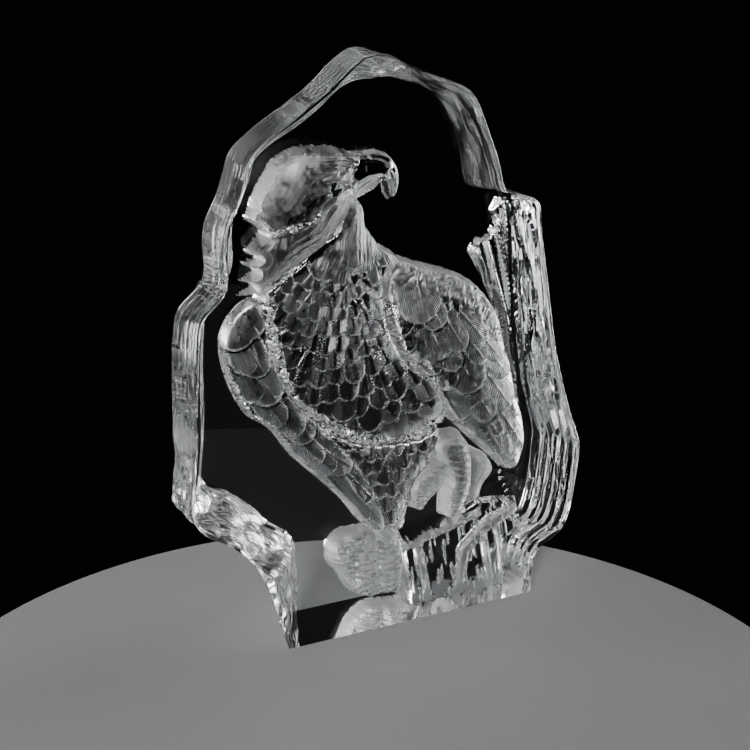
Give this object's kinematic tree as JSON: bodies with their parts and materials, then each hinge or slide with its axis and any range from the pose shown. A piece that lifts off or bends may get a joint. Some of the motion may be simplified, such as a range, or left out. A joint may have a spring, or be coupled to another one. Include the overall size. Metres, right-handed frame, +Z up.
{
  "type": "crystal eagle trophy",
  "caption": "Upright block of clear crystal with a polished flat front and an eagle on a rock moulded into its back as a hollow relief, standing on a flat base.",
  "frame": {"origin": "middle of the block's bounding box, on the underside it stands on", "axes": "+Z up, -Y out of the polished front face, +X to the right as the viewer faces that face"},
  "size_m": [0.1484, 0.042, 0.1999],
  "materials": {
    "crystal": "clear polished crystal, satin on parts of the carving"
  },
  "bodies": {
    "root": {"crystal_eagle_block": "crystal"}
  },
  "joints": []
}
